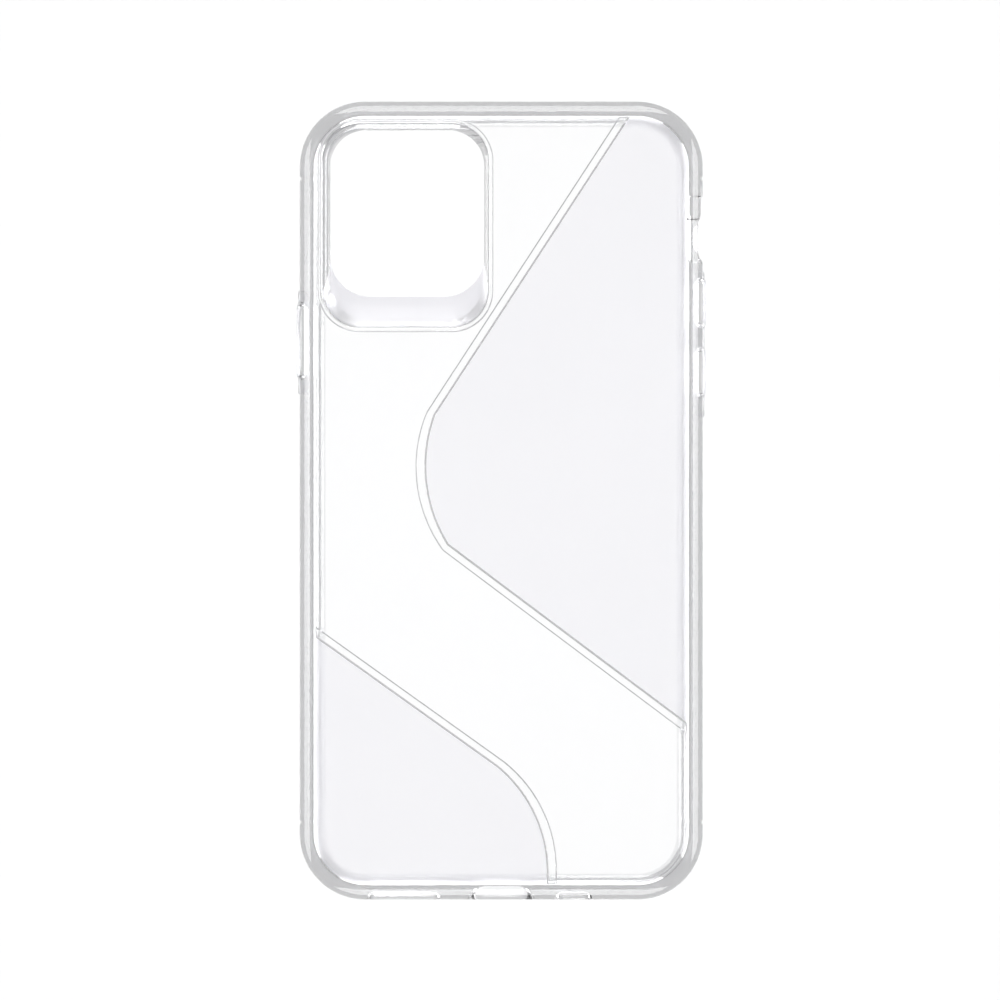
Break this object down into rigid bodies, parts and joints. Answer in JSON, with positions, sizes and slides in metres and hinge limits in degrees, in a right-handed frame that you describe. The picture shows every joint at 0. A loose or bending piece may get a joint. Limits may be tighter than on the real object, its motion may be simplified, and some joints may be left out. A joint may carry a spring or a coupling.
{
  "type": "phone case",
  "caption": "Clear flexible phone case with a gloss S-shaped band between two frosted fields, a large camera window and press pads over the side keys.",
  "frame": {"origin": "centre of the case's footprint on the plane of the screen-side lip, on which the case lies face down", "axes": "+Y towards the top of the phone, +Z out of the back of the case, +X to the right as seen from behind"},
  "size_m": [0.0754, 0.1468, 0.0115],
  "materials": {
    "clear_gloss": "clear soft polyurethane, polished",
    "clear_frosted": "clear soft polyurethane with a fine frosted texture",
    "clear_bumper": "clear soft polyurethane, polished, thicker section",
    "clear_pad": "clear soft polyurethane, satin"
  },
  "bodies": {
    "shell": {"back_panel": "clear_gloss", "frosted_panel_upper": "clear_frosted", "frosted_panel_lower": "clear_frosted", "rib_upper": "clear_gloss", "rib_lower": "clear_gloss", "camera_rim": "clear_gloss", "camera_ramp": "clear_frosted", "wall_left": "clear_bumper", "wall_right": "clear_bumper", "wall_top": "clear_bumper", "wall_bottom": "clear_bumper", "corner_top_left": "clear_bumper", "corner_top_right": "clear_bumper", "corner_bottom_left": "clear_bumper", "corner_bottom_right": "clear_bumper", "lip_left": "clear_bumper", "lip_right": "clear_bumper", "lip_top": "clear_bumper", "lip_bottom": "clear_bumper", "lip_top_left": "clear_bumper", "lip_top_right": "clear_bumper", "lip_bottom_left": "clear_bumper", "lip_bottom_right": "clear_bumper", "power_surround": "clear_pad", "volume_surround": "clear_pad", "power_web": "clear_pad", "volume_up_web": "clear_pad", "volume_down_web": "clear_pad"},
    "power_pad": {"power_button": "clear_pad"},
    "volume_up_pad": {"volume_up_button": "clear_pad"},
    "volume_down_pad": {"volume_down_button": "clear_pad"}
  },
  "joints": [
    {"name": "power_press", "type": "slide", "parent": "shell", "child": "power_pad", "axis": [1, 0, 0], "range_m": [0, 0.0004], "stiffness_N_per_m": 400, "deforming": ["power_web"]},
    {"name": "volume_up_press", "type": "slide", "parent": "shell", "child": "volume_up_pad", "axis": [-1, 0, 0], "range_m": [0, 0.0004], "stiffness_N_per_m": 400, "deforming": ["volume_up_web"]},
    {"name": "volume_down_press", "type": "slide", "parent": "shell", "child": "volume_down_pad", "axis": [-1, 0, 0], "range_m": [0, 0.0004], "stiffness_N_per_m": 400, "deforming": ["volume_down_web"]}
  ]
}
